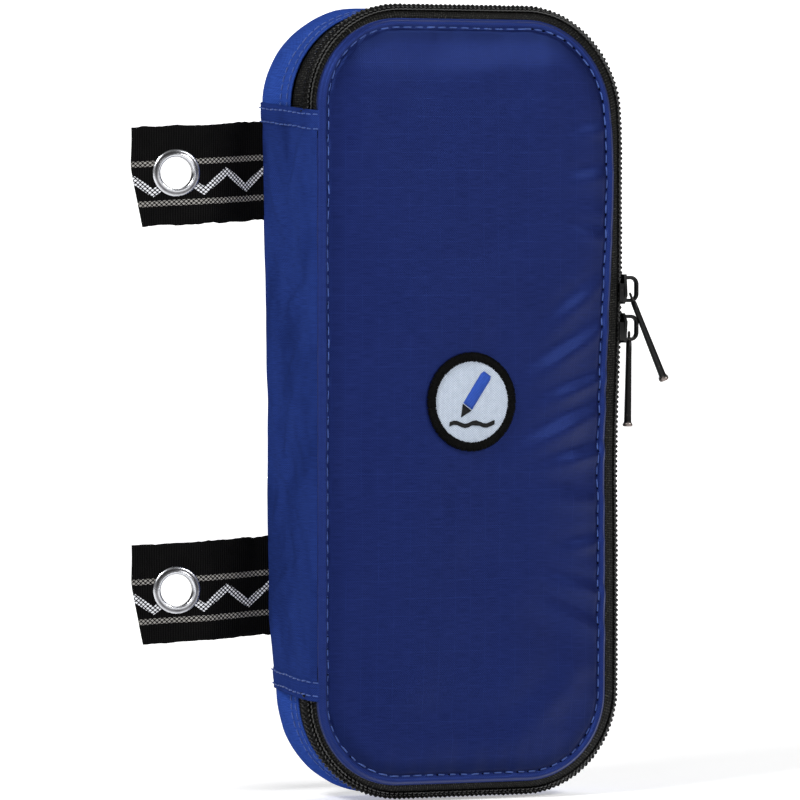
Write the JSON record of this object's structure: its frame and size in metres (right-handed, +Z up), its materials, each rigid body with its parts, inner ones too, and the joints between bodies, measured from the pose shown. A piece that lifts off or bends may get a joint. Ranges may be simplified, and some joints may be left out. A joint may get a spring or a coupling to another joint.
{
  "type": "zippered binder pouch",
  "caption": "Upright padded zip-around pouch with a fabric spine, opposed zip sliders, and eyeleted webbing tabs that go on binder rings.",
  "frame": {"origin": "halfway between the two ring holes, in the middle of the webbing's thickness", "axes": "+Z up along the pouch's height, -Y out of the cover's face, +X from the ring holes towards the zip's opening side"},
  "size_m": [0.1415, 0.034, 0.2062],
  "materials": {
    "ripstop_blue": "ripstop nylon, faint grid, satin sheen",
    "foam_grey": "closed-cell sheet foam",
    "lining_black": "plain woven nylon",
    "zip_tape_black": "ribbed woven tape",
    "coil_black": "satin nylon coil",
    "thread_blue": "polyester sewing thread",
    "webbing_black": "ribbed flat webbing",
    "patch_white": "satin-stitched field",
    "patch_black": "overlocked border thread",
    "patch_blue": "embroidery thread",
    "slider_black": "black paint on zinc, worn grey at the edges",
    "eyelet_nickel": "nickel plate"
  },
  "bodies": {
    "base": {"rear_panel": "ripstop_blue", "rear_pad": "foam_grey", "rear_lining": "lining_black", "rear_gusset": "ripstop_blue", "rear_zipper_tape": "zip_tape_black", "rear_zipper_coil": "coil_black", "rear_topstitch": "thread_blue", "rear_seam_binding": "lining_black", "spine_rear": "ripstop_blue", "tab_root_upper": "webbing_black", "tab_root_lower": "webbing_black"},
    "cover": {"front_panel": "ripstop_blue", "front_pad": "foam_grey", "front_lining": "lining_black", "front_zipper_tape": "zip_tape_black", "front_zipper_coil": "coil_black", "front_seam_binding": "lining_black", "front_topstitch": "thread_blue", "spine_front": "ripstop_blue", "patch_field": "patch_white", "patch_border": "patch_black", "motif_pencil": "patch_blue", "motif_line": "patch_black"},
    "slider_upper": {"slider_body_upper": "slider_black", "slider_crown_upper": "slider_black"},
    "slider_lower": {"slider_body_lower": "slider_black", "slider_crown_lower": "slider_black"},
    "pull_upper": {"pull_upper": "slider_black"},
    "pull_lower": {"pull_lower": "slider_black"},
    "tab_upper": {"tab_webbing_upper": "webbing_black", "eyelet_upper": "eyelet_nickel", "washer_upper": "eyelet_nickel"},
    "tab_lower": {"tab_webbing_lower": "webbing_black", "eyelet_lower": "eyelet_nickel", "washer_lower": "eyelet_nickel"}
  },
  "joints": [
    {"name": "cover_hinge", "type": "hinge", "parent": "base", "child": "cover", "pos_m": [0.0247, -0.0236, 0], "axis": [0, 0, -1], "range_deg": [0, 160]},
    {"name": "slider_upper_slide", "type": "slide", "parent": "base", "child": "slider_upper", "axis": [0, 0, 1], "range_m": [0, 0.043]},
    {"name": "slider_lower_slide", "type": "slide", "parent": "base", "child": "slider_lower", "axis": [0, 0, -1], "range_m": [0, 0.09]},
    {"name": "pull_upper_swing", "type": "hinge", "parent": "slider_upper", "child": "pull_upper", "pos_m": [0.1179, -0.0236, 0.0221], "axis": [0, -1, 0], "range_deg": [0, 78]},
    {"name": "pull_lower_swing", "type": "hinge", "parent": "slider_lower", "child": "pull_lower", "pos_m": [0.1179, -0.0236, 0.0119], "axis": [0, -1, 0], "range_deg": [-2, 24]},
    {"name": "tab_upper_fold", "type": "hinge", "parent": "base", "child": "tab_upper", "pos_m": [0.0242, 0, 0.054], "axis": [0, 0, -1], "range_deg": [-30, 90]},
    {"name": "tab_lower_fold", "type": "hinge", "parent": "base", "child": "tab_lower", "pos_m": [0.0242, 0, -0.054], "axis": [0, 0, -1], "range_deg": [-30, 90]}
  ]
}
